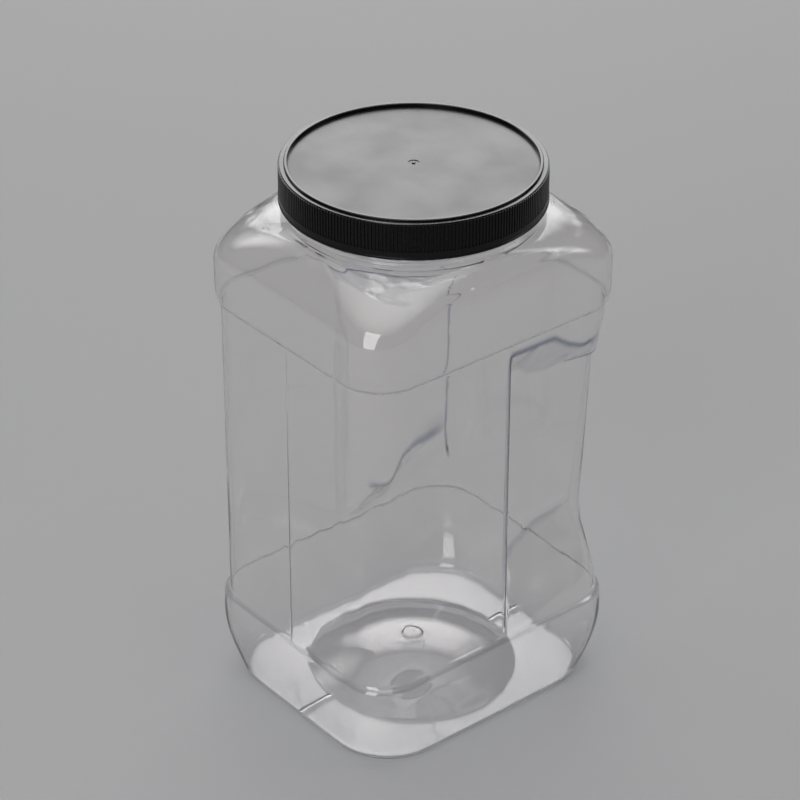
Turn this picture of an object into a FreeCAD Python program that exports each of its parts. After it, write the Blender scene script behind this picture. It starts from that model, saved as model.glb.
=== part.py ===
import FreeCAD, Part
import math
import os

# Plastic jar with side grips and a screw lid
# Lengths in mm, origin in the middle of the base, Z up
# The plain front face is -Y, the handle side is +Y, the finger grips are on +X and -X

# Body band under the shoulder, the widest part of the blown body
band_half_x = 60.7
band_half_y = 70.7
band_corner = 20.5
band_bottom = 192.8
band_round = 8.0
band_straight = 12.2
band_steps = 4

# Shoulder between the band and the neck
shoulder_height = 23.0
shoulder_curve = 1.9
shoulder_steps = 8

# Label panel, set in from the band
panel_inset = 1.8

# Lower bumper and foot
bumper_top = 44.0
bumper_round = 3.0
bumper_swell = 0.3
bumper_widest = 33.0
bumper_ledge = 0.4
foot_inset_x = 2.5
foot_inset_y = 3.8
foot_corner = 28.5
foot_round = 5.0
foot_steps = 3

# Base push-up and standing ring
ring_width = 6.3
dome_height = 15.5
dome_steps = 7
base_gate_radius = 4.9
base_gate_rise = 0.8
notch_radius = 2.2
notch_depth = 1.1
notch_overlap = 2.2

# Finger grips
grip_top_gap = 5.8
grip_bottom_gap = 1.0
grip_shelf = 22.0
grip_rear_drop = 8.0
grip_rear_shelf = 12.0
grip_ramp = 38.0
grip_front_y = 4.5
grip_wall_run = 14.0
grip_depth_front = 21.4
grip_depth_rear = 18.7
grip_floor_lean = 8.6
grip_crown = 0.5
grip_inner_round = 5.0
grip_scoop_round = 10.0
grip_overrun = 12.0
handle_corner = 12.0
handle_crease = 0.5
handle_tail_x = 10.0
handle_tail_y = 3.0
arch_lift = 2.2

# Walls
wall = 0.7
base_wall = 1.3
neck_wall = 2.0
lip_round = 0.5

# Neck finish
neck_radius = 53.0
neck_height = 18.3
neck_flare = 1.2
bead_gap = 2.8
bead_height = 1.6
bead_out = 0.9
thread_pitch = 5.08
thread_turns = 1.25
thread_out = 1.3
thread_height = 2.2
thread_rise = 8.2

# Screw lid, its heights stacked up from the neck's lip
lid_clearance = 2.0
lid_skirt_wall = 2.0
lid_height = 17.4
lid_top_wall = 1.5
lid_pad_depth = 0.7
lid_rim_height = 1.0
lid_rim_edge = 2.7
lid_rim_width = 1.6
lid_band_height = 3.8
rib_count = 232
rib_depth = 0.5
rib_crest_share = 0.42
rib_root_share = 0.30
rib_edge = 0.5
lid_lip = 1.0
lid_lip_out = 0.15
lid_thread_out = 1.4
lid_thread_height = 1.7
lid_thread_start = 60.0
thread_play = 0.25
gate_radius = 2.35
gate_depth = 0.25
gate_nub_radius = 0.8
gate_nub_rise = 0.15

# Sealing disc inside the lid
liner_thick = 1.1
liner_play = 0.6
keeper_height = 0.8
keeper_out = 1.0
keeper_gap = 0.7

# Heights and radii that follow from the values above
band_top = band_bottom + band_round + band_straight
neck_root = band_top + shoulder_height
neck_top = neck_root + neck_height
dome_radius = band_half_x + bumper_swell - foot_inset_x - foot_round - ring_width
grip_top = band_bottom - grip_top_gap
grip_bottom = bumper_top + grip_bottom_gap
lid_under = neck_top + liner_thick
lid_pad = lid_under + lid_top_wall
lid_ledge = lid_pad + lid_pad_depth
lid_rim_top = lid_ledge + lid_rim_height
lid_bottom = lid_rim_top - lid_height
rib_bottom = lid_bottom + lid_band_height
lid_inner_radius = neck_radius + lid_clearance
lid_radius = lid_inner_radius + lid_skirt_wall
lid_rim_outer = lid_radius - lid_rim_edge
lid_rim_inner = lid_rim_outer - lid_rim_width


def vec(x, y, z):
    return FreeCAD.Vector(x, y, z)


def rounded_wire(corners, z):
    # closed outline of straight sides and tangent arcs, corners as (x, y, radius)
    count = len(corners)
    starts = []
    mids = []
    ends = []
    for i in range(count):
        px, py, pr = corners[i - 1]
        cx, cy, cr = corners[i]
        nx, ny, nr = corners[(i + 1) % count]
        ax, ay = px - cx, py - cy
        bx, by = nx - cx, ny - cy
        la = math.hypot(ax, ay)
        lb = math.hypot(bx, by)
        ax, ay, bx, by = ax / la, ay / la, bx / lb, by / lb
        half = math.acos(max(-1.0, min(1.0, ax * bx + ay * by))) / 2.0
        reach = cr / math.tan(half)
        mx, my = ax + bx, ay + by
        lm = math.hypot(mx, my)
        to_mid = cr / math.sin(half) - cr
        starts.append(vec(cx + ax * reach, cy + ay * reach, z))
        ends.append(vec(cx + bx * reach, cy + by * reach, z))
        mids.append(vec(cx + mx / lm * to_mid, cy + my / lm * to_mid, z))
    edges = []
    for i in range(count):
        edges.append(Part.Arc(starts[i], mids[i], ends[i]).toShape())
        edges.append(Part.LineSegment(ends[i], starts[(i + 1) % count]).toShape())
    return Part.Wire(edges)


def four_corners(half_x, half_y, radius):
    return [(half_x, -half_y, radius), (half_x, half_y, radius),
            (-half_x, half_y, radius), (-half_x, -half_y, radius)]


def loft(wires):
    # straight runs from each outline to the next
    return Part.makeLoft(wires, True, True)


def prism(corners, z_low, z_high):
    face = Part.Face(rounded_wire(corners, z_low))
    return face.extrude(vec(0, 0, z_high - z_low))


def foot_solid(inset, z_floor):
    # lower bumper, rounded into the standing ring, widest a little below its top line
    swell_x = band_half_x + bumper_swell - inset
    swell_y = band_half_y + bumper_swell - inset
    corner = band_corner - inset
    ring_corner = foot_corner - inset
    wires = []
    for step in range(foot_steps):
        angle = step / foot_steps * math.pi / 2.0
        pull = foot_round * (1.0 - math.sin(angle))
        height = z_floor + foot_round * (1.0 - math.cos(angle))
        half_x = swell_x - foot_inset_x - pull
        half_y = swell_y - foot_inset_y - pull
        wires.append(rounded_wire(four_corners(half_x, half_y, ring_corner - pull * 0.6), height))
    belly_low = z_floor + foot_round
    for step in range(foot_steps + 1):
        share = step / foot_steps
        out = math.sin(share * math.pi / 2.0)
        height = belly_low + (bumper_widest - belly_low) * share
        half_x = swell_x - foot_inset_x * (1.0 - out)
        half_y = swell_y - foot_inset_y * (1.0 - out)
        round_now = ring_corner + (corner - ring_corner) * out
        wires.append(rounded_wire(four_corners(half_x, half_y, round_now), height))
    drop = bumper_swell + panel_inset - bumper_ledge
    top = bumper_top - inset * 0.5
    low = top - bumper_round
    for step in range(foot_steps + 1):
        angle = step / foot_steps * math.pi / 2.0
        pull = drop * (0.1 + 0.9 * (1.0 - math.cos(angle)))
        height = low + bumper_round * math.sin(angle)
        wires.append(rounded_wire(four_corners(swell_x - pull, swell_y - pull, corner), height))
    return loft(wires)


def grip_section(inset, z, deep_front, deep_rear, scoop):
    # one level of the space that a finger grip takes out of the panel
    face_x = band_half_x - panel_inset
    face_y = band_half_y - panel_inset
    lean = grip_floor_lean * (z - grip_bottom) / (grip_top - grip_bottom)
    wall_tilt = grip_wall_run / grip_depth_front
    wall_y = grip_front_y - inset * math.hypot(1.0, wall_tilt)
    front_x = face_x - (grip_depth_front - lean) * deep_front - inset
    rear_x = face_x - (grip_depth_rear - lean) * deep_rear - inset
    far_x = face_x + grip_overrun
    mid_y = (grip_front_y + face_y) / 2.0
    front_y = wall_y + wall_tilt * (face_x - front_x)
    rear_y = face_y - inset - handle_crease * deep_rear
    line_x = front_x + (rear_x - front_x) * (mid_y - front_y) / (rear_y - front_y)
    crown = grip_crown + arch_lift * scoop
    bend = math.atan2(crown, mid_y - front_y) + math.atan2(crown, rear_y - mid_y)
    mid_radius = 7.0 / math.tan(bend / 2.0)
    inner_radius = grip_inner_round + inset + grip_scoop_round * scoop
    return rounded_wire([(far_x, wall_y - wall_tilt * grip_overrun, 1.0),
                         (front_x, front_y, inner_radius),
                         (line_x + crown, mid_y, mid_radius),
                         (rear_x, rear_y, handle_corner - inset),
                         (handle_tail_x, face_y - inset + handle_tail_y, 1.0),
                         (handle_tail_x, face_y + grip_overrun, 1.0),
                         (far_x, face_y + grip_overrun, 1.0)], z)


def grip_space(inset):
    # ramp at the foot, straight middle, and a shelf at the top that is shorter at the rear
    wires = []
    for share, deep in ((-0.12, -0.16), (0.0, -0.02), (0.14, 0.10), (0.30, 0.28), (0.46, 0.50),
                        (0.62, 0.71), (0.80, 0.90), (1.0, 1.0)):
        z = grip_bottom + grip_ramp * share - inset * 0.2
        scoop = (1.0 - share) * max(0.0, share + 0.12) * 3.2
        wires.append(grip_section(inset, z, deep, deep, scoop))
    shelf_foot = grip_top - grip_shelf
    rear_top = grip_top - grip_rear_drop
    for share in (0.0, 0.15, 0.3, 0.45, 0.58, 0.7, 0.84, 0.94, 1.06):
        z = shelf_foot + grip_shelf * share
        front = 1.0 - share ** 1.7
        up = (z - rear_top + grip_rear_shelf) / grip_rear_shelf
        rear = 1.0 - min(1.1, max(0.0, up)) ** 2.2
        wires.append(grip_section(inset, z + inset * 0.5, front, rear, 0.0))
    return loft(wires)


def panel_solid(inset):
    # label panel with the two finger grips taken out of it
    half_x = band_half_x - panel_inset - inset
    half_y = band_half_y - panel_inset - inset
    corners = four_corners(half_x, half_y, band_corner - inset)
    panel = prism(corners, bumper_top - inset * 0.5, band_bottom + inset * 0.5)
    right = grip_space(inset)
    left = right.mirror(vec(0, 0, 0), vec(1, 0, 0))
    return panel.cut(right).cut(left)


def band_solid(inset):
    corner = band_corner - inset
    low = band_bottom + inset * 0.5
    wires = []
    for step in range(band_steps + 1):
        angle = step / band_steps * math.pi / 2.0
        pull = (panel_inset - bumper_ledge) * (1.0 - math.sin(angle))
        height = low + (band_round - inset * 0.5) * (1.0 - math.cos(angle))
        half_x = band_half_x - inset - pull
        half_y = band_half_y - inset - pull
        wires.append(rounded_wire(four_corners(half_x, half_y, corner), height))
    return loft(wires)


def shoulder_solid(inset, neck_inset):
    # dome from the rounded rectangle of the band to the round neck
    top_half = neck_radius + neck_flare - neck_inset
    start = band_corner - inset
    wires = []
    for step in range(shoulder_steps + 1):
        rise = math.sin(step / shoulder_steps * math.pi / 2.0)
        close = rise ** shoulder_curve
        half_x = band_half_x - inset + (top_half - band_half_x + inset) * close
        half_y = band_half_y - inset + (top_half - band_half_y + inset) * close
        radius = start + (top_half - 1.0 - start) * close
        height = band_top + (neck_root - band_top) * rise
        wires.append(rounded_wire(four_corners(half_x, half_y, radius), height))
    return loft(wires)


def body_solid(inset, z_floor, neck_inset):
    solid = foot_solid(inset, z_floor)
    solid = solid.fuse(panel_solid(inset))
    low = band_bottom + band_round
    corner = band_corner - inset
    solid = solid.fuse(band_solid(inset))
    solid = solid.fuse(prism(four_corners(band_half_x - inset, band_half_y - inset, corner), low, band_top))
    solid = solid.fuse(shoulder_solid(inset, neck_inset))
    return solid


def dome_plug(grow):
    # the space under the push-up dome, a ball's cap in straight rings
    radius = (dome_radius ** 2 + dome_height ** 2) / (2.0 * dome_height)
    centre_z = dome_height - radius
    low = -1.0 - grow
    reach = math.acos((low - centre_z) / (radius + grow))
    points = [(0, low)]
    for step in range(dome_steps + 1):
        turn = reach * (1.0 - step / dome_steps)
        points.append(((radius + grow) * math.sin(turn), centre_z + (radius + grow) * math.cos(turn)))
    return turned(points)


def notch_rods(grow):
    # parting-line channels across the standing ring, front and rear
    start = vec(0, dome_radius - notch_overlap, notch_depth - notch_radius)
    rod = Part.makeCylinder(notch_radius + grow, band_half_y - start.y + 5.0, start, vec(0, 1, 0))
    tip = Part.makeSphere(notch_radius + grow, start)
    rear = rod.fuse(tip)
    front = rear.mirror(vec(0, 0, 0), vec(0, 1, 0))
    return [rear, front]


def ring(radius_in, radius_out, z_low, z_high):
    tube = Part.makeCylinder(radius_out, z_high - z_low, vec(0, 0, z_low))
    return tube.cut(Part.makeCylinder(radius_in, z_high - z_low + 2.0, vec(0, 0, z_low - 1.0)))


def turned(points):
    # solid of revolution about Z from (radius, height) points
    outline = Part.makePolygon([vec(r, 0, z) for r, z in points + points[:1]])
    return Part.Face(outline).revolve(vec(0, 0, 0), vec(0, 0, 1), 360)


def thread(radius, out, height, z_first, start_deg):
    # right-hand thread bead, out is positive outward and negative inward
    path = Part.makeHelix(thread_pitch, thread_pitch * thread_turns, radius)
    bite = 0.4 if out > 0 else -0.4
    half = height / 2.0
    crest = height * 0.2
    outline = Part.makePolygon([vec(radius - bite, 0, -half), vec(radius, 0, -half),
                                vec(radius + out, 0, -crest), vec(radius + out, 0, crest),
                                vec(radius, 0, half), vec(radius - bite, 0, half),
                                vec(radius - bite, 0, -half)])
    bead = Part.Wire(path).makePipeShell([outline], True, True)
    bead.rotate(vec(0, 0, 0), vec(0, 0, 1), start_deg)
    bead.translate(vec(0, 0, z_first))
    return bead


def jar_body():
    outer = body_solid(0.0, 0.0, 0.0)
    outer = outer.cut(dome_plug(0.0))
    for rod in notch_rods(0.0):
        outer = outer.cut(rod)
    bead_low = neck_root + bead_gap
    bead_top = bead_low + bead_height
    bead_edge = bead_out * 0.4
    neck = turned([(0, neck_root - 4.0), (neck_radius, neck_root - 4.0), (neck_radius, bead_low),
                   (neck_radius + bead_out - bead_edge, bead_low),
                   (neck_radius + bead_out, bead_low + bead_edge),
                   (neck_radius + bead_out, bead_top - bead_edge),
                   (neck_radius + bead_out - bead_edge, bead_top),
                   (neck_radius, bead_top), (neck_radius, neck_top - lip_round),
                   (neck_radius - lip_round * 0.3, neck_top - lip_round * 0.3),
                   (neck_radius - lip_round, neck_top), (0, neck_top)])
    outer = outer.fuse(neck)
    outer = outer.fuse(thread(neck_radius, thread_out, thread_height, neck_root + thread_rise, 0.0))
    inner = body_solid(wall, base_wall, neck_wall)
    inner = inner.cut(dome_plug(base_wall))
    for rod in notch_rods(base_wall * 0.8):
        inner = inner.cut(rod)
    bore = neck_radius - neck_wall
    inner = inner.fuse(Part.makeCylinder(bore, neck_top - neck_root + 8.0, vec(0, 0, neck_root - 6.0)))
    jar = outer.cut(inner)
    pip = Part.makeCylinder(base_gate_radius, base_gate_rise, vec(0, 0, dome_height + base_wall - 0.4))
    jar = jar.fuse(pip)
    return jar


def lid():
    body = lid_radius - lid_lip_out
    root = body - rib_depth
    crest = body - 0.08
    inner = lid_inner_radius
    core = turned([(inner, lid_bottom), (lid_radius - 0.3, lid_bottom), (lid_radius, lid_bottom + 0.3),
                   (lid_radius, lid_bottom + lid_lip), (body, lid_bottom + lid_lip + 0.2),
                   (body, rib_bottom), (root - 0.05, rib_bottom),
                   (root - 0.05, lid_ledge - rib_edge * 0.5), (root - rib_edge * 0.5, lid_ledge),
                   (lid_rim_outer, lid_ledge), (lid_rim_outer, lid_rim_top - 0.3),
                   (lid_rim_outer - 0.3, lid_rim_top), (lid_rim_inner + 0.3, lid_rim_top),
                   (lid_rim_inner, lid_rim_top - 0.3), (lid_rim_inner, lid_pad), (0, lid_pad),
                   (0, lid_under), (inner, lid_under)])
    points = []
    step = 2.0 * math.pi / rib_count
    for i in range(rib_count):
        for radius, share in ((crest, -rib_crest_share / 2.0), (crest, rib_crest_share / 2.0),
                              (root, 0.5 - rib_root_share / 2.0), (root, 0.5 + rib_root_share / 2.0)):
            angle = (i + share) * step
            points.append(vec(radius * math.cos(angle), radius * math.sin(angle), rib_bottom))
    hole = Part.Face(Part.Wire(Part.makeCircle(root - 0.6, vec(0, 0, rib_bottom))))
    ribs = Part.Face(Part.makePolygon(points + points[:1])).cut(hole)
    ribs = ribs.extrude(vec(0, 0, lid_ledge - rib_edge - rib_bottom))
    drop = (thread_height + lid_thread_height) / 2.0 + thread_play
    first = neck_root + thread_rise + thread_pitch * lid_thread_start / 360.0 - drop
    core = core.fuse(thread(inner, -lid_thread_out, lid_thread_height, first, lid_thread_start))
    keeper_top = neck_top - keeper_gap
    core = core.fuse(ring(inner - keeper_out, inner + 0.3, keeper_top - keeper_height, keeper_top))
    crater = Part.makeCylinder(gate_radius, gate_depth + 1.0, vec(0, 0, lid_pad - gate_depth))
    nub = Part.makeCylinder(gate_nub_radius, gate_depth + gate_nub_rise, vec(0, 0, lid_pad - gate_depth))
    return core.cut(crater).fuse(nub).fuse(ribs)


def liner():
    return Part.makeCylinder(lid_inner_radius - liner_play, liner_thick, vec(0, 0, neck_top))


def one_solid(shape):
    shape = shape.removeSplitter()
    return shape.Solids[0] if len(shape.Solids) == 1 else shape


if __name__ == "__main__":
    os.makedirs("parts", exist_ok=True)
    for name, make in (("jar_body", jar_body), ("lid", lid), ("liner", liner)):
        shape = one_solid(make())
        print(name, shape.isValid(), shape.ShapeType, len(shape.Solids), len(shape.Faces),
              round(shape.Volume / 1000.0, 2))
        shape.exportStep("parts/" + name + ".step")
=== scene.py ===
import math
import bpy
import numpy as np
from mathutils import Matrix, Vector


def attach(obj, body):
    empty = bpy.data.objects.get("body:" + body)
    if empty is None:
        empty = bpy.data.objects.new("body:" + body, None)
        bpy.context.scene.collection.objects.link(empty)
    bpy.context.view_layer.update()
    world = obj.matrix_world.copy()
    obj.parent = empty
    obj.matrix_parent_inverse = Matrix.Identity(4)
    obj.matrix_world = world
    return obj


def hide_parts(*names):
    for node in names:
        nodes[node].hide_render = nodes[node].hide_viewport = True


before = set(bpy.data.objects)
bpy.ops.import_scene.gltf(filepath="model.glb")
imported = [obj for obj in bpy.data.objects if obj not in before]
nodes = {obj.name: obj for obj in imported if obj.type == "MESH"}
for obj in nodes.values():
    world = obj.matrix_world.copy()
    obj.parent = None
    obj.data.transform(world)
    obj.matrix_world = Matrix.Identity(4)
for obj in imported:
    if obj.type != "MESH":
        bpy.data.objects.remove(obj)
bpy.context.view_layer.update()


def deselectAll():
    bpy.ops.object.select_all(action="DESELECT")


def makeActive(piece):
    deselectAll()
    piece.select_set(True)
    bpy.context.view_layer.objects.active = piece


# Camera, as the photo was taken
camera = {
    "place": (0.88368, -0.73247, 0.84117),
    "heading": 50.624,  # degrees round Z
    "tilt": 31.393,  # degrees below level
    "roll": 0.056,
    "lens": 138.6,
    "sensor": 36,
    "nearest": 0.05,
    "farthest": 30,
}


def makeCamera(c):
    bpy.ops.object.camera_add(location=c["place"])
    cam = bpy.context.object
    cam.name = "photoCamera"
    turn = Matrix.Rotation(math.radians(c["heading"]), 4, "Z")
    dip = Matrix.Rotation(math.radians(90 - c["tilt"]), 4, "X")
    lean = Matrix.Rotation(math.radians(c["roll"]), 4, "Z")
    cam.rotation_euler = (turn @ dip @ lean).to_euler()
    cam.data.lens = c["lens"]
    cam.data.sensor_width = c["sensor"]
    cam.data.clip_start = c["nearest"]
    cam.data.clip_end = c["farthest"]
    bpy.context.scene.camera = cam


# Jar body, lengths in metres
jar = {
    "bandHalfX": 0.0607,
    "bandHalfY": 0.0707,
    "bandCorner": 0.0205,
    "bandBottom": 0.1928,
    "bandRound": 0.008,
    "bandTop": 0.213,
    "panelInset": 0.0018,
    "ledge": 0.0004,
    "fillet": 0.0010,  # half the height that a ledge is softened over
    "bumperTop": 0.044,
    "bumperRound": 0.003,
    "bumperWidest": 0.033,
    "bumperSwell": 0.00025,
    "bumperLean": 0.1,  # share of the step to the panel that the bumper leans in by below its round
    "footInsetX": 0.0025,
    "footInsetY": 0.0038,
    "footCorner": 0.0285,
    "footRound": 0.005,
    "footCornerPull": 0.6,
    "plainBelow": 0.012,  # the heel has no ledge to soften
    "domeRadius": 0.0472,
    "domeHeight": 0.0155,
    "domeFillet": 0.0012,
    "shoulderCurve": 1.9,
    "wall": 0.0007,
    "baseWall": 0.0013,
    "heelThin": 0.03,  # height over which the base's wall thins to the side's
    "weld": 0.000001,
    "sharpEdge": 45,  # degrees
}

neck = {
    "root": 0.236,
    "top": 0.2543,
    "radius": 0.053,
    "flare": 0.0012,
    "flareRise": 0.0008,
    "wall": 0.0020,
    "wallCurve": 7,  # how late on the shoulder the wall thickens
    "cornerRoom": 0.0005,  # how far the shoulder's corners stay short of a full circle
    "bead": (0.2396, 0.0008, 0.0009),  # height, half height, how far out
    "beadFlank": 0.0004,
    "threadStart": 0.2442,
    "pitch": 0.00508,
    "turns": 1.25,
    "threadOut": 0.0013,
    "threadHalf": 0.0011,
    "threadCrest": 0.00044,
    "threadEnd": 0.03,  # share of a turn that each end of the thread rises over
}

marks = {
    "gate": (0.0042, 0.0006),  # radius and height of the round mark under the preform's tip
    "gateFlank": (1.1, 0.2),  # share of the radius where its flank ends, and the flank's run
    "bodyFrom": (0.003, 0.004),  # height where the mould's marks start, and the rise that they fade in over
    "bodyFade": 0.002,
    "domeFree": (0.001, 0.002),  # how far beside and above the dome the skin stays free of them
    "seamWide": 0.00030,  # the mould's parting line
    "seamFront": 0.00020,
    "seamFaint": 0.00004,
    "seamFoot": (0.042, 0.004),
    "seamTop": 0.003,  # the front seam fades out below the band
    "insertTurn": 52,  # degrees round to the line that the grip's mould insert leaves
    "insertHigh": 0.00030,
    "insertFaint": 0.12,  # the share of it that shows on the right grip
    "insertFrom": (0.060, 0.008),  # height where the line starts, and the rise that it fades in over
    "insertTo": (0.174, 0.006),
    "notch": (0.0022, 0.0011),  # channel across the standing ring, radius and depth
    "notchReach": 0.0022,
    "notchTop": 0.004,
    "ripple": 0.00002,
    "waves": ((31, 18, 0.0, 1.0), (53, -31, 1.3, 0.7), (5, 160, 0.0, 0.8)),  # round, up, start and share
    "collar": (0.40, 0.5, 0.02),  # where the thick neck zone ends: share at the sides, rise and wave
    "collarTurn": (35, 45),  # degrees from the sides where it starts to rise, and the run
    "collarWaves": (9, 2.0),  # how many in a full turn, and where they start
    "collarStep": 0.0003,
    "collarWide": 0.035,
}

# heights are followed along Y, from the grip's step to the handle
grip = {
    "top": 0.188,
    "bottom": 0.045,
    "shelfY": (0.004, 0.017, 0.025, 0.034, 0.045, 0.057, 0.070),
    "shelfFoot": (0.176, 0.172, 0.165, 0.1632, 0.1640, 0.166, 0.168),
    "edgeY": (0.004, 0.029, 0.0375, 0.0457, 0.054, 0.070),
    "shelfEdge": (0.188, 0.1876, 0.1815, 0.1778, 0.1785, 0.180),
    "shelfCurve": 1.15,
    "archY": (0.0185, 0.022, 0.030, 0.037, 0.048, 0.057, 0.068),
    "arch": (0.068, 0.0735, 0.0805, 0.084, 0.0855, 0.088, 0.090),
    "rampCurve": 1.35,
    "rolledY": (0.042, 0.056),  # between these the crisp edges turn into rolled ones
    "frontY": 0.0045,
    "wallRun": 0.0165,
    "floorFront": 0.0375,
    "floorRear": 0.0410,
    "lean": 0.0084,
    "innerRound": 0.005,
    "lipRound": 0.0012,
    "rearCorner": 0.012,
    "rearCrease": 0.0005,
    "crown": 0.0005,
    "crownRound": 0.007,
    "crownRoom": 0.002,  # depth of the grip from which the floor has its full crown
    "least": 0.00005,  # a shallower grip isn't drawn
    "lipShare": 0.8,  # the most of the step wall's length that the lip's round takes
    "innerShare": 1.2,
    "floorFrom": (0.020, 0.012),  # half width where the floor's own depth starts to count, and its rise
    "stations": 40,  # places along the floor that its depth is worked out at
}

# painted shade, where refraction draws dark lines in the clear wall along the grip's edges, arch and lip,
# the shelf,
# the insert line and the ledges: shares from 0 to 1, widths, then the place and the run that each rises or
# falls over
paintedShadeLines = {
    "edge": 1.0,
    "shelf": 0.20,
    "arch": (0.35, 0.80),  # right grip and left grip
    "lip": (0.65, 0.15),
    "ledge": 0.22,
    "insert": 0.8,
    "edgeWide": 0.0013,
    "archWide": 0.0014,
    "archSpread": 0.0020,  # how much wider the left arch gets towards the handle
    "lipWide": 0.0012,
    "ledgeWide": 0.0009,
    "fade": 0.002,
    "sideFrom": (0.034, 0.004),  # half width where a grip's floor starts, and the rise
    "frontReach": 0.001,
    "handleEnd": (0.062, 0.014),  # they fade out round the handle
    "archFrom": (0.012, 0.004),
    "archTo": (0.058, 0.012),
    "archSpreads": (0.030, 0.014),
    "lipFrom": (0.053, 0.003),
    "lipFoot": (0.047, 0.004),
    "ledges": (jar["bandBottom"] + 0.0008, jar["bumperTop"] - 0.0010),
}

# rows and columns of the skin, closest where the wall bends most: stretches as from, to and how many,
# the lip's rows as drop, pull and wall
net = {
    "gate": (0.2, 0.5, 0.75, 0.9, 1.0, 1.1, 1.3),  # shares of the gate mark's radius
    "dome": ((0.0075, 0.041, 13), (0.0425, jar["domeRadius"] + 0.001, 7)),  # radii
    "ring": (0.2, 0.45, 0.72, 0.9, 1.0),  # shares of the way from the dome to the heel
    "foot": 6,
    "heel": (0.0075, 0.038, 11),  # heights from here on
    "body": ((0.0395, 0.0457, 11), (0.0467, 0.089, 29), (0.096, 0.156, 6), (0.160, 0.1892, 26),
             (0.1905, 0.1905, 1), (0.1916, 0.1948, 8), (0.196, 0.198, 2), (0.2005, 0.2005, 1),
             (0.2045, 0.209, 2)),
    "shoulder": 25,
    "flare": (0.4, 0.75, 1.0),
    "neck": (0.2373, neck["top"] - 0.0007, 35),
    "lip": ((0.0005, 0.00002, 0.00196), (0.00015, 0.00015, 0.00175), (0.0, 0.0006, 0.0009)),
    "round": ((-90, -89, 5), (-89, -87, 4), (-87, -84, 2), (-84, -64, 7), (-64, -36, 18), (-36, 0, 9),
              (0, 10, 9), (10, 22, 7), (22, 36, 11), (36, 50.6, 10), (50.6, 51.6, 2), (51.6, 52.4, 4),
              (52.4, 53.4, 2), (53.4, 66, 8), (66, 84, 6), (84, 87, 2), (87, 89, 4), (89, 90, 5)),
}


def smoothRise(share):
    share = np.clip(share, 0.0, 1.0)
    return share * share * (3 - 2 * share)


def risesFrom(value, start, run):
    return smoothRise((value - start) / run)


def fallsTo(value, stop, run):
    return smoothRise((stop - value) / run)


def cornerPath(corners, straightSteps=24, arcSteps=16):
    # points along straight sides and tangent arcs, corners as (x, y, radius), the ends as plain points
    points = [np.array(corners[0][:2])]
    for i in range(1, len(corners) - 1):
        corner = np.array(corners[i][:2])
        toLast = np.array(corners[i - 1][:2]) - corner
        toNext = np.array(corners[i + 1][:2]) - corner
        toLast = toLast / np.linalg.norm(toLast)
        toNext = toNext / np.linalg.norm(toNext)
        half = math.acos(max(-1.0, min(1.0, float(toLast @ toNext)))) / 2
        if half > math.radians(89.9):
            stops = [corner]
        else:
            reach = corners[i][2] / math.tan(half)
            middle = (toLast + toNext) / np.linalg.norm(toLast + toNext)
            centre = corner + middle * corners[i][2] / math.sin(half)
            first = corner + toLast * reach - centre
            last = corner + toNext * reach - centre
            sweep = math.pi - 2 * half
            stops = []
            for k in range(arcSteps + 1):
                share = k / arcSteps
                stops.append(centre + (first * math.sin((1 - share) * sweep)
                                       + last * math.sin(share * sweep)) / math.sin(sweep))
        points += list(np.linspace(points[-1], stops[0], straightSteps, endpoint=False)[1:])
        points += stops
    end = np.array(corners[-1][:2])
    points += list(np.linspace(points[-1], end, straightSteps)[1:])
    return np.array(points)


def plainOutline(halfX, halfY, corner):
    return cornerPath([(0, -halfY), (halfX, -halfY, corner), (halfX, halfY, corner), (0, halfY)])


def sideShape(z):
    # inset from the band's outline in x and in y, and the corner's radius
    swell, corner = jar["bumperSwell"], jar["bandCorner"]
    drop = swell + jar["panelInset"] - jar["ledge"]
    low = jar["bumperTop"] - jar["bumperRound"]
    lean = jar["bumperLean"]
    if z < jar["footRound"]:
        pull = jar["footRound"] - math.sqrt(max(0.0, jar["footRound"] ** 2 - (jar["footRound"] - z) ** 2))
        return (jar["footInsetX"] - swell + pull, jar["footInsetY"] - swell + pull,
                jar["footCorner"] - pull * jar["footCornerPull"])
    if z < jar["bumperWidest"]:
        out = math.sin((z - jar["footRound"]) / (jar["bumperWidest"] - jar["footRound"]) * math.pi / 2)
        return (jar["footInsetX"] * (1 - out) - swell, jar["footInsetY"] * (1 - out) - swell,
                jar["footCorner"] + (corner - jar["footCorner"]) * out)
    if z < low:
        inset = drop * lean * ((z - jar["bumperWidest"]) / (low - jar["bumperWidest"])) ** 2 - swell
    elif z < jar["bumperTop"]:
        inset = drop * (1 - (1 - lean) * math.sqrt(1 - ((z - low) / jar["bumperRound"]) ** 2)) - swell
    elif z < jar["bandBottom"]:
        inset = jar["panelInset"]
    elif z < jar["bandBottom"] + jar["bandRound"]:
        rise = (z - jar["bandBottom"]) / jar["bandRound"]
        inset = (jar["panelInset"] - jar["ledge"]) * (1 - math.sqrt(2 * rise - rise ** 2))
    else:
        inset = 0.0
    return inset, inset, corner


def softened(shape, z, reach, samples=13, peak=1.05):
    # the mean of a shape's numbers a little below and above, so that its ledges get fillets
    steps = np.linspace(-reach, reach, samples)
    return np.average([shape(z + step) for step in steps], axis=0, weights=peak - np.abs(steps) / reach)


def gripShare(y, z):
    # share of the full depth along the floor at a height: ramp below, shelf above
    rolled = smoothRise((y - grip["rolledY"][0]) / (grip["rolledY"][1] - grip["rolledY"][0]))
    arch = np.interp(y, grip["archY"], grip["arch"])
    climb = np.clip((z - grip["bottom"]) / (arch - grip["bottom"]), 0, 1)
    ramp = climb ** grip["rampCurve"] * (1 - rolled) + smoothRise(climb) * rolled
    foot = np.interp(y, grip["shelfY"], grip["shelfFoot"])
    edge = np.interp(y, grip["edgeY"], grip["shelfEdge"])
    climb = np.clip((z - foot) / (edge - foot), 0, 1)
    shelf = (1 - climb ** grip["shelfCurve"]) * (1 - rolled) + (1 - np.sqrt(1 - (1 - climb) ** 2)) * rolled
    return np.minimum(ramp, shelf)


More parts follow.
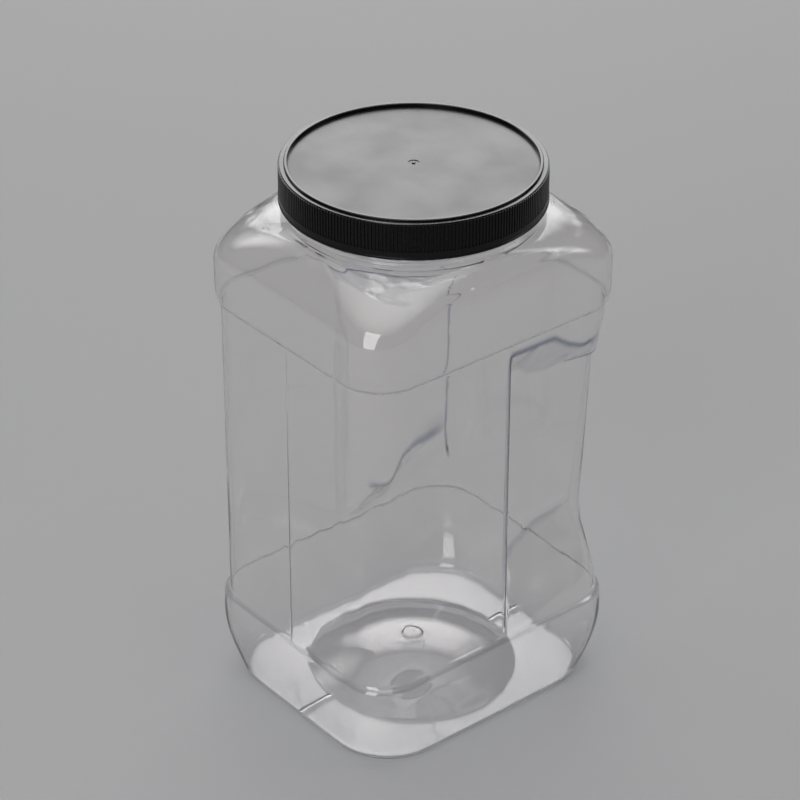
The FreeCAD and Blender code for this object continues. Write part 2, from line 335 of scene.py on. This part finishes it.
def bodyOutline(z):
    insetX, insetY, corner = sideShape(z) if z < jar["plainBelow"] else softened(sideShape, z, jar["fillet"])
    halfX, halfY = jar["bandHalfX"] - insetX, jar["bandHalfY"] - insetY
    lipY = grip["frontY"]
    stations = np.linspace(lipY + grip["wallRun"], halfY, grip["stations"])
    shares = softened(lambda height: gripShare(stations, height), z, jar["fillet"])
    front, rear = shares[0], shares[-1]
    lean = grip["lean"] * (z - grip["bottom"]) / (grip["top"] - grip["bottom"])
    frontX = halfX - (halfX - grip["floorFront"] - lean) * front
    rearX = halfX - (halfX - grip["floorRear"] - lean) * rear
    frontY = lipY + grip["wallRun"] / (halfX - grip["floorFront"]) * (halfX - frontX)
    room = math.hypot(halfX - frontX, frontY - lipY)
    clear = jar["fillet"]
    if z < grip["bottom"] - clear or z > grip["top"] + clear or room < grip["least"]:
        return plainOutline(halfX, halfY, corner)
    rearY = halfY - grip["rearCrease"] * rear
    midY = (lipY + halfY) / 2
    crown = grip["crown"] * min(1.0, room / grip["crownRoom"])
    lineX = frontX + (rearX - frontX) * (midY - frontY) / (rearY - frontY)
    bend = math.atan2(crown, midY - frontY) + math.atan2(crown, rearY - midY)
    rearRound = corner + (grip["rearCorner"] - corner) * rear
    lipRound = min(grip["lipRound"], room * grip["lipShare"])
    innerRound = min(grip["innerRound"], room * grip["innerShare"])
    path = cornerPath([(0, -halfY), (halfX, -halfY, corner), (halfX, lipY, lipRound),
                       (frontX, frontY, innerRound),
                       (lineX + crown, midY, grip["crownRound"] / math.tan(bend / 2)),
                       (rearX, rearY, rearRound), (0, rearY)])
    share = np.clip((path[:, 1] - frontY) / (rearY - frontY), 0, 1)
    chord = front + (rear - front) * share
    real = np.interp(path[:, 1], stations, shares)
    onFloor = risesFrom(path[:, 0], *grip["floorFrom"]) * (path[:, 1] > frontY)
    path[:, 0] += (chord - real) * (halfX - grip["floorRear"] - lean) * onFloor
    return path


def ringTurns():
    # degrees round one half, denser at the parting line, the corners, the grip's lip and its inner corner
    half = []
    for start, stop, count in net["round"]:
        half += list(np.linspace(start, stop, count, endpoint=False))
    return np.radians(np.array(half + [90]))


def skinRows():
    # the outer skin row by row from the middle of the base to the lip: radius, height and wall at every turn
    half = ringTurns()
    flat = np.ones(len(half))
    rows = []

    def add(z, outline, wall):
        if not np.isscalar(outline):
            turn = np.arctan2(outline[:, 1], outline[:, 0])
            outline = np.interp(half, turn, np.hypot(outline[:, 0], outline[:, 1]))
        rows.append((flat * outline, flat * z, flat * wall))

    ballRadius = (jar["domeRadius"] ** 2 + jar["domeHeight"] ** 2) / (2 * jar["domeHeight"])

    def domeZ(radius):
        rise = math.sqrt(max(0.0, ballRadius ** 2 - radius ** 2)) - ballRadius + jar["domeHeight"]
        return (rise + math.sqrt(rise ** 2 + jar["domeFillet"] ** 2)) / 2

    gateRadius, gateRise = marks["gate"]
    for share in net["gate"]:
        radius = gateRadius * share
        add(domeZ(radius) + gateRise * float(fallsTo(share, *marks["gateFlank"])), radius, jar["baseWall"])
    for start, stop, count in net["dome"]:
        for radius in np.linspace(start, stop, count):
            add(domeZ(radius), radius, jar["baseWall"])
    ring = bodyOutline(0.0)
    edge = net["dome"][-1][1]
    ringTurn = np.arctan2(ring[:, 1], ring[:, 0])
    ringRadius = np.interp(half, ringTurn, np.hypot(ring[:, 0], ring[:, 1]))
    for share in net["ring"]:
        rows.append((edge * (1 - share) + ringRadius * share, flat * domeZ(edge) * (1 - share) ** 2,
                     flat * jar["baseWall"]))
    for k in range(1, net["foot"] + 1):
        z = jar["footRound"] * (1 - math.cos(k / net["foot"] * math.pi / 2))
        add(z, bodyOutline(z), jar["baseWall"])
    for z in np.linspace(*net["heel"]):
        share = (z - net["heel"][0]) / jar["heelThin"]
        add(z, bodyOutline(z), jar["baseWall"] + (jar["wall"] - jar["baseWall"]) * min(1.0, share))
    for start, stop, count in net["body"]:
        for z in np.linspace(start, stop, count):
            add(z, bodyOutline(z), jar["wall"])
    topHalf = neck["radius"] + neck["flare"]
    turns = np.concatenate([half, math.pi - half[-2:0:-1]])
    collarLow, collarRise, collarWave = marks["collar"]
    onFace = risesFrom(np.abs(np.degrees(half)), *marks["collarTurn"])
    waves, waveStart = marks["collarWaves"]
    collar = collarLow + collarRise * onFace + collarWave * np.sin(half * waves + waveStart)
    for k in range(net["shoulder"] + 1):
        rise = math.sin(k / net["shoulder"] * math.pi / 2)
        close = rise ** jar["shoulderCurve"]
        halfX = jar["bandHalfX"] + (topHalf - jar["bandHalfX"]) * close
        halfY = jar["bandHalfY"] + (topHalf - jar["bandHalfY"]) * close
        corner = jar["bandCorner"] + (topHalf - neck["cornerRoom"] - jar["bandCorner"]) * close
        # extra wall where the thick neck zone ends, real thickness with no painted shade
        thickAndPaintedShade = marks["collarStep"] * smoothRise((close - collar) / marks["collarWide"] + 0.5)
        rest = neck["wall"] - jar["wall"] - marks["collarStep"]
        add(jar["bandTop"] + (neck["root"] - jar["bandTop"]) * rise, plainOutline(halfX, halfY, corner),
            jar["wall"] + thickAndPaintedShade + rest * close ** neck["wallCurve"])
    for share in net["flare"]:
        add(neck["root"] + neck["flareRise"] * share, topHalf - neck["flare"] * share ** 0.5, neck["wall"])
    for z in np.linspace(*net["neck"]):
        add(z, neck["radius"], neck["wall"])
    for drop, pull, wall in net["lip"]:
        add(neck["top"] - drop, neck["radius"] - pull, wall)
    skin = np.array(rows).transpose(1, 0, 2)
    return turns, np.concatenate([skin, skin[:, :, -2:0:-1]], axis=2)


# painted shade: how dark the clear wall is painted along the grip's lines, shelf and ledges, from 0 to 1
def paintedShadeShare(x, y, height, onInsert):
    t = paintedShadeLines
    onSide = risesFrom(np.abs(x), *t["sideFrom"])
    onSide = onSide * smoothRise((y - grip["frontY"] + t["frontReach"]) / t["fade"])
    edge = np.interp(y, grip["edgeY"], grip["shelfEdge"])
    arch = np.interp(y, grip["archY"], grip["arch"])
    foot = np.interp(y, grip["shelfY"], grip["shelfFoot"])
    beforeHandle = fallsTo(y, *t["handleEnd"])
    share = t["edge"] * np.exp(-((height - edge) / t["edgeWide"]) ** 2) * beforeHandle
    inShelf = risesFrom(height, foot, t["fade"]) * fallsTo(height, edge, t["fade"])
    share = share + t["shelf"] * inShelf * beforeHandle
    archWide = t["archWide"] + t["archSpread"] * risesFrom(y, *t["archSpreads"]) * (x < 0)
    archEnd = risesFrom(y, *t["archFrom"]) * fallsTo(y, *t["archTo"])
    share = share + np.where(x > 0, *t["arch"]) * np.exp(-((height - arch) / archWide) ** 2) * archEnd
    onLip = np.exp(-((y - grip["frontY"]) / t["lipWide"]) ** 2) * risesFrom(np.abs(x), *t["lipFrom"])
    onLip = onLip * risesFrom(height, *t["lipFoot"]) * fallsTo(height, edge, t["fade"])
    share = share * onSide + np.where(x > 0, *t["lip"]) * onLip
    for ledge in t["ledges"]:
        share = share + t["ledge"] * np.exp(-((height - ledge) / t["ledgeWide"]) ** 2)
    return np.minimum(1.0, share + t["insert"] * onInsert)


def threadOut(turns, heights):
    # how far the thread and the bead stand out of the neck
    beadAt, beadHalf, beadOut = neck["bead"]
    out = beadOut * smoothRise((beadHalf - np.abs(heights - beadAt)) / neck["beadFlank"] + 0.5)
    around = np.mod(turns, 2 * math.pi) / (2 * math.pi)
    for lap in (0, 1):
        along = around + lap
        away = np.abs(heights - neck["threadStart"] - neck["pitch"] * along)
        flank = np.clip((neck["threadHalf"] - away) / (neck["threadHalf"] - neck["threadCrest"]), 0.0, 1.0)
        ends = smoothRise(along / neck["threadEnd"]) * fallsTo(along, neck["turns"], neck["threadEnd"])
        out = np.maximum(out, neck["threadOut"] * flank * ends)
    return out


def ringPoints(turn, radius, height):
    # the skin's points, with a drain channel pressed across the standing ring at the front and the back
    x = radius * np.cos(turn)
    y = radius * np.sin(turn)
    notchRadius, notchDepth = marks["notch"]
    channel = np.sqrt(np.clip(notchRadius ** 2 - x ** 2, 0, None)) - (notchRadius - notchDepth)
    inRing = (np.abs(y) > jar["domeRadius"] - marks["notchReach"]) & (height < marks["notchTop"])
    return np.stack([x, y, np.where(inRing, np.maximum(height, channel), height)], axis=2)


def mouldMarks(turn, radius, x, y, height):
    # how far the mould's lines stand out, how wavy the inside is, and where the grip's insert line runs
    onBody = risesFrom(height, *marks["bodyFrom"]) * fallsTo(height, neck["root"], marks["bodyFade"])
    beside, above = marks["domeFree"]
    onBody = onBody * ((radius > jar["domeRadius"] + beside) | (height > jar["domeHeight"] + above))
    onFront = (y < 0) * risesFrom(height, *marks["seamFoot"])
    onFront = onFront * fallsTo(height, jar["bandBottom"], marks["seamTop"])
    ridge = (marks["seamFaint"] + (marks["seamFront"] - marks["seamFaint"]) * onFront) * onBody
    ridge = ridge * np.exp(-(x / marks["seamWide"]) ** 2)
    fromFront = np.abs(np.mod(turn + math.pi / 2, 2 * math.pi) - math.pi)
    fromInsert = radius * (fromFront - math.radians(90 - marks["insertTurn"]))
    inGrip = risesFrom(height, *marks["insertFrom"]) * fallsTo(height, *marks["insertTo"])
    inGrip = inGrip * np.where(x > 0, marks["insertFaint"], 1.0)
    onInsert = np.exp(-(fromInsert / marks["seamWide"]) ** 2) * inGrip
    wave = np.zeros(turn.shape)
    for around, up, start, share in marks["waves"]:
        wave = wave + share * np.sin(turn * around + height * up + start)
    return ridge + marks["insertHigh"] * onInsert, marks["ripple"] * wave * onBody, onInsert


def makeJarShell():
    turns, (radius, height, wall) = skinRows()
    turn = np.broadcast_to(turns, radius.shape)
    points = ringPoints(turn, radius, height)
    x, y, height = points[:, :, 0], points[:, :, 1], points[:, :, 2]
    across = np.roll(points, -1, axis=1) - np.roll(points, 1, axis=1)
    normal = np.cross(across, np.gradient(points, axis=0))
    normal = normal / np.linalg.norm(normal, axis=2, keepdims=True)
    outward = np.stack([np.cos(turn), np.sin(turn), np.zeros(turn.shape)], axis=2)
    upright = smoothRise((height - neck["root"]) / neck["flareRise"])[:, :, None]
    normal = normal * (1 - upright) + outward * upright
    ridge, ripple, onInsert = mouldMarks(turn, radius, x, y, height)
    # painted shade share, stored on the skin as an attribute that darkens the base colour
    thickAndPaintedShade = paintedShadeShare(x, y, height, onInsert)
    inner = points - normal * (wall + ripple)[:, :, None]
    outer = points + outward * (ridge + threadOut(turn, height) * upright[:, :, 0])[:, :, None]
    skin = np.concatenate([outer, inner[::-1]])
    skin = np.concatenate([skin, skin[:, :1]], axis=1)
    thickAndPaintedShade = np.concatenate([thickAndPaintedShade, thickAndPaintedShade[::-1]])
    thickAndPaintedShade = np.concatenate([thickAndPaintedShade, thickAndPaintedShade[:, :1]], axis=1)
    rows, columns = skin.shape[0] - 1, skin.shape[1] - 1
    deselectAll()
    bpy.ops.mesh.primitive_grid_add(x_subdivisions=columns, y_subdivisions=rows, size=1)
    shell = bpy.context.object
    shell.name = "jarShell"
    flatPlace = np.zeros(len(shell.data.vertices) * 3)
    shell.data.vertices.foreach_get("co", flatPlace)
    flatPlace = flatPlace.reshape(-1, 3)
    column = np.rint((flatPlace[:, 0] + 0.5) * columns).astype(int)
    row = np.rint((flatPlace[:, 1] + 0.5) * rows).astype(int)
    shell.data.vertices.foreach_set("co", skin[row, column].ravel())
    shell.data.attributes.new("thickAndPaintedShade", "FLOAT", "POINT").data.foreach_set("value", thickAndPaintedShade[row, column])
    makeActive(shell)
    bpy.ops.object.mode_set(mode="EDIT")
    bpy.ops.mesh.select_all(action="SELECT")
    bpy.ops.mesh.remove_doubles(threshold=jar["weld"])
    bpy.ops.mesh.select_all(action="SELECT")
    bpy.ops.mesh.fill_holes(sides=0)
    bpy.ops.mesh.select_all(action="SELECT")
    bpy.ops.mesh.normals_make_consistent(inside=False)
    bpy.ops.object.mode_set(mode="OBJECT")
    bpy.ops.object.shade_smooth_by_angle(angle=math.radians(jar["sharpEdge"]))
    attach(shell, "jar")
    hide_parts("jar_body")
    return shell


def newMaterial(name):
    material = bpy.data.materials.new(name)
    material.use_nodes = True
    return material, material.node_tree.nodes, material.node_tree.links


# Clear blown plastic, faintly wavy, that lets the lamps through to what is inside and below, with painted
# shade darkening its base colour along the grip's lines and ledges
plastic = {
    "clear": (0.998, 0.983, 0.969, 1),
    # painted shade: the dark blue-grey that the clear wall is painted along the grip's lines and ledges
    "thickAndPaintedShade": (0.26, 0.30, 0.42, 1),
    "ior": 1.56,
    "seeThrough": 0.985,
    "lampTint": (0.93, 0.93, 0.93, 1),
    "waveScale": 75,
    "waveStretch": (1.0, 1.0, 0.35),
    "waveStrength": 0.25,
    "waveDepth": 0.0002,
    "depthTint": (0.44, 0.50, 0.64, 1),
    "depthDensity": 75,  # per metre
}


def clearPlastic():
    material, n, links = newMaterial("clearPlastic")
    shader = n["Principled BSDF"]
    # painted shade: the base colour runs from the clear tint to the dark blue-grey along the painted shade
    # share
    thickAndPaintedShade = n.new("ShaderNodeAttribute")
    thickAndPaintedShade.attribute_name = "thickAndPaintedShade"
    tint = n.new("ShaderNodeValToRGB")
    tint.color_ramp.elements[0].color = plastic["clear"]
    tint.color_ramp.elements[1].color = plastic["thickAndPaintedShade"]
    links.new(thickAndPaintedShade.outputs["Fac"], tint.inputs["Fac"])
    links.new(tint.outputs["Color"], shader.inputs["Base Color"])
    shader.inputs["Roughness"].default_value = 0.0
    shader.inputs["IOR"].default_value = plastic["ior"]
    shader.inputs["Transmission Weight"].default_value = plastic["seeThrough"]
    place = n.new("ShaderNodeTexCoord")
    stretch = n.new("ShaderNodeMapping")
    stretch.inputs["Scale"].default_value = plastic["waveStretch"]
    links.new(place.outputs["Object"], stretch.inputs["Vector"])
    waves = n.new("ShaderNodeTexNoise")
    waves.inputs["Scale"].default_value = plastic["waveScale"]
    waves.inputs["Detail"].default_value = 3
    links.new(stretch.outputs["Vector"], waves.inputs["Vector"])
    bump = n.new("ShaderNodeBump")
    bump.inputs["Strength"].default_value = plastic["waveStrength"]
    bump.inputs["Distance"].default_value = plastic["waveDepth"]
    links.new(waves.outputs["Fac"], bump.inputs["Height"])
    links.new(bump.outputs["Normal"], shader.inputs["Normal"])
    lampRay = n.new("ShaderNodeLightPath")
    seeThrough = n.new("ShaderNodeBsdfTransparent")
    seeThrough.inputs["Color"].default_value = plastic["lampTint"]
    mix = n.new("ShaderNodeMixShader")
    links.new(lampRay.outputs["Is Shadow Ray"], mix.inputs["Fac"])
    links.new(shader.outputs["BSDF"], mix.inputs[1])
    links.new(seeThrough.outputs["BSDF"], mix.inputs[2])
    links.new(mix.outputs["Shader"], n["Material Output"].inputs["Surface"])
    depth = n.new("ShaderNodeVolumeAbsorption")
    depth.inputs["Color"].default_value = plastic["depthTint"]
    depth.inputs["Density"].default_value = plastic["depthDensity"]
    links.new(depth.outputs["Volume"], n["Material Output"].inputs["Volume"])
    return material


# Lid's black plastic: grain per metre, roughness from and to, how strong the grain is, and gloss
lidFinish = {
    "satinBlack": (1500, 0.20, 0.28, 0.10, 0.20),
    "grainedPad": (2100, 0.30, 0.38, 0.60, 0.80),
    "satinRim": (1500, 0.22, 0.30, 0.15, 0.80),
}
black = {
    "low": (0.0025, 0.0025, 0.003, 1),
    "high": (0.008, 0.008, 0.0085, 1),
    "toneSpan": (0.35, 0.75),
    "grainDepth": 0.00006,
    "cloudScale": 40,
    "cloudSpan": (0.35, 0.65),
}
# heights and radius that tell the pad and the ledge from the rest of the lid
pad = {"low": 0.2560, "high": 0.2572, "radius": 0.0527, "ledgeLow": 0.2550}


def blackPlastic(name, grainScale, roughLow, roughHigh, grainStrong, gloss):
    # black, with a fine moulded grain and a cloudy sheen
    material, n, links = newMaterial(name)
    shader = n["Principled BSDF"]
    shader.inputs["Specular IOR Level"].default_value = gloss
    place = n.new("ShaderNodeTexCoord")
    grain = n.new("ShaderNodeTexNoise")
    grain.inputs["Scale"].default_value = grainScale
    grain.inputs["Detail"].default_value = 2
    cloud = n.new("ShaderNodeTexNoise")
    cloud.inputs["Scale"].default_value = black["cloudScale"]
    cloud.inputs["Detail"].default_value = 4
    for texture in (grain, cloud):
        links.new(place.outputs["Object"], texture.inputs["Vector"])
    rough = n.new("ShaderNodeMapRange")
    rough.inputs["From Min"].default_value = black["cloudSpan"][0]
    rough.inputs["From Max"].default_value = black["cloudSpan"][1]
    rough.inputs["To Min"].default_value = roughLow
    rough.inputs["To Max"].default_value = roughHigh
    links.new(cloud.outputs["Fac"], rough.inputs["Value"])
    links.new(rough.outputs["Result"], shader.inputs["Roughness"])
    tone = n.new("ShaderNodeValToRGB")
    tone.color_ramp.elements[0].position = black["toneSpan"][0]
    tone.color_ramp.elements[0].color = black["low"]
    tone.color_ramp.elements[1].position = black["toneSpan"][1]
    tone.color_ramp.elements[1].color = black["high"]
    links.new(grain.outputs["Fac"], tone.inputs["Fac"])
    links.new(tone.outputs["Color"], shader.inputs["Base Color"])
    bump = n.new("ShaderNodeBump")
    bump.inputs["Strength"].default_value = grainStrong
    bump.inputs["Distance"].default_value = black["grainDepth"]
    links.new(grain.outputs["Fac"], bump.inputs["Height"])
    links.new(bump.outputs["Normal"], shader.inputs["Normal"])
    return material


def dressLid(lid):
    # the sunk pad takes the grained finish, the ledge and rim round it a smoother one
    for name, finish in lidFinish.items():
        lid.data.materials.append(blackPlastic(name, *finish))
    for face in lid.data.polygons:
        middle = face.center
        inPad = pad["low"] < middle.z < pad["high"] and math.hypot(middle.x, middle.y) < pad["radius"]
        onPad = face.normal.z > 0.9 and inPad
        onRim = face.normal.z > 0.5 and middle.z > pad["ledgeLow"]
        face.material_index = 1 if onPad else 2 if onRim else 0


foam = {
    "light": (0.80, 0.80, 0.785, 1),
    "shade": (0.66, 0.66, 0.645, 1),
    "cellScale": 1400,
    "rough": 0.7,
    "cellStrength": 0.4,
    "cellDepth": 0.0001,
}


def whiteFoam():
    material, n, links = newMaterial("whiteFoam")
    shader = n["Principled BSDF"]
    shader.inputs["Roughness"].default_value = foam["rough"]
    place = n.new("ShaderNodeTexCoord")
    cells = n.new("ShaderNodeTexVoronoi")
    cells.inputs["Scale"].default_value = foam["cellScale"]
    links.new(place.outputs["Object"], cells.inputs["Vector"])
    tone = n.new("ShaderNodeValToRGB")
    tone.color_ramp.elements[0].color = foam["light"]
    tone.color_ramp.elements[1].color = foam["shade"]
    links.new(cells.outputs["Distance"], tone.inputs["Fac"])
    links.new(tone.outputs["Color"], shader.inputs["Base Color"])
    bump = n.new("ShaderNodeBump")
    bump.inputs["Strength"].default_value = foam["cellStrength"]
    bump.inputs["Distance"].default_value = foam["cellDepth"]
    links.new(cells.outputs["Distance"], bump.inputs["Height"])
    links.new(bump.outputs["Normal"], shader.inputs["Normal"])
    return material


def dress(piece, material):
    piece.data.materials.clear()
    piece.data.materials.append(material)


# Floor and studio light
stage = {
    "floor": (0.38, 0.38, 0.385, 1),
    "floorRough": 0.30,
    "floorGloss": 0.0,
    "world": (0.50, 0.50, 0.53, 1),
    "worldStrength": 0.16,
    "floorSize": 12,
    "floorDrop": 0.00005,  # keeps the floor clear of the base
}

keyLight = {
    "place": (0.58, -1.23, 0.80),
    "aim": (0, 0, 0.17),
    "width": 0.62,
    "height": 1.5,
    "power": 9.5,
}

panels = {
    # place, aim, width, height, strength, share of the width that fades out at each edge
    "back": ((-1.35, 1.10, 1.25), (0, 0, 0.22), 2.6, 1.7, 3.5, 0.3),
    "left": ((-1.65, -0.35, 1.20), (0, 0, 0.20), 1.3, 1.2, 2.6, 0.5),
    "right": ((0.95, 1.45, 0.95), (0, 0, 0.18), 1.3, 0.8, 3.2, 0.45),
    "top": ((0.0, 0.0, 2.2), (0, 0, 0.10), 4.8, 4.8, 1.9, 0.5),
}


def makeStage():
    deselectAll()
    bpy.ops.mesh.primitive_plane_add(size=stage["floorSize"], location=(0, 0, -stage["floorDrop"]))
    floor = bpy.context.object
    floor.name = "floor"
    material, n = newMaterial("floorPaint")[:2]
    shader = n["Principled BSDF"]
    shader.inputs["Base Color"].default_value = stage["floor"]
    shader.inputs["Roughness"].default_value = stage["floorRough"]
    shader.inputs["Specular IOR Level"].default_value = stage["floorGloss"]
    dress(floor, material)


def aimed(piece, place, aim):
    piece.location = place
    piece.rotation_euler = (Vector(aim) - Vector(place)).to_track_quat("-Z", "Y").to_euler()


def makeKey(k):
    bpy.ops.object.light_add(type="AREA")
    lamp = bpy.context.object
    lamp.name = "keySoftbox"
    lamp.data.shape = "RECTANGLE"
    lamp.data.size = k["width"]
    lamp.data.size_y = k["height"]
    lamp.data.energy = k["power"]
    aimed(lamp, k["place"], k["aim"])


def softPanel(name, place, aim, width, height, strength, fade):
    # a glowing card with soft edges, dark from behind
    deselectAll()
    bpy.ops.mesh.primitive_plane_add(size=1)
    card = bpy.context.object
    card.name = name
    aimed(card, place, aim)
    card.scale = (width, height, 1)
    card.visible_camera = False
    material, n, links = newMaterial(name + "Glow")
    n.remove(n["Principled BSDF"])
    coords = n.new("ShaderNodeTexCoord")
    axes = n.new("ShaderNodeSeparateXYZ")
    links.new(coords.outputs["Object"], axes.inputs["Vector"])
    side = n.new("ShaderNodeNewGeometry")
    level = side.outputs["Backfacing"]
    for axis in ("X", "Y"):
        away = n.new("ShaderNodeMath")
        away.operation = "ABSOLUTE"
        links.new(axes.outputs[axis], away.inputs[0])
        edge = n.new("ShaderNodeMapRange")
        edge.interpolation_type = "SMOOTHSTEP"
        edge.inputs["From Min"].default_value = 0.5
        edge.inputs["From Max"].default_value = 0.5 - fade
        links.new(away.outputs[0], edge.inputs["Value"])
        both = n.new("ShaderNodeMath")
        both.operation = "MULTIPLY"
        links.new(level, both.inputs[0])
        links.new(edge.outputs["Result"], both.inputs[1])
        level = both.outputs[0]
    power = n.new("ShaderNodeMath")
    power.operation = "MULTIPLY"
    power.inputs[1].default_value = strength
    links.new(level, power.inputs[0])
    glow = n.new("ShaderNodeEmission")
    links.new(power.outputs[0], glow.inputs["Strength"])
    links.new(glow.outputs["Emission"], n["Material Output"].inputs["Surface"])
    dress(card, material)


def makeLight():
    world = bpy.data.worlds.new("studio")
    bpy.context.scene.world = world
    world.use_nodes = True
    background = world.node_tree.nodes["Background"]
    background.inputs["Color"].default_value = stage["world"]
    background.inputs["Strength"].default_value = stage["worldStrength"]
    makeKey(keyLight)
    for name, settings in panels.items():
        softPanel(name + "Panel", *settings)


makeCamera(camera)
print("camera ready")
shell = makeJarShell()
dress(shell, clearPlastic())
print("jar shell ready", len(shell.data.polygons))
nodes["lid"].data.materials.clear()
dressLid(nodes["lid"])
dress(nodes["liner"], whiteFoam())
print("lid and disc dressed")
makeStage()
makeLight()
bpy.context.scene.view_settings.view_transform = "Standard"
print("stage ready")
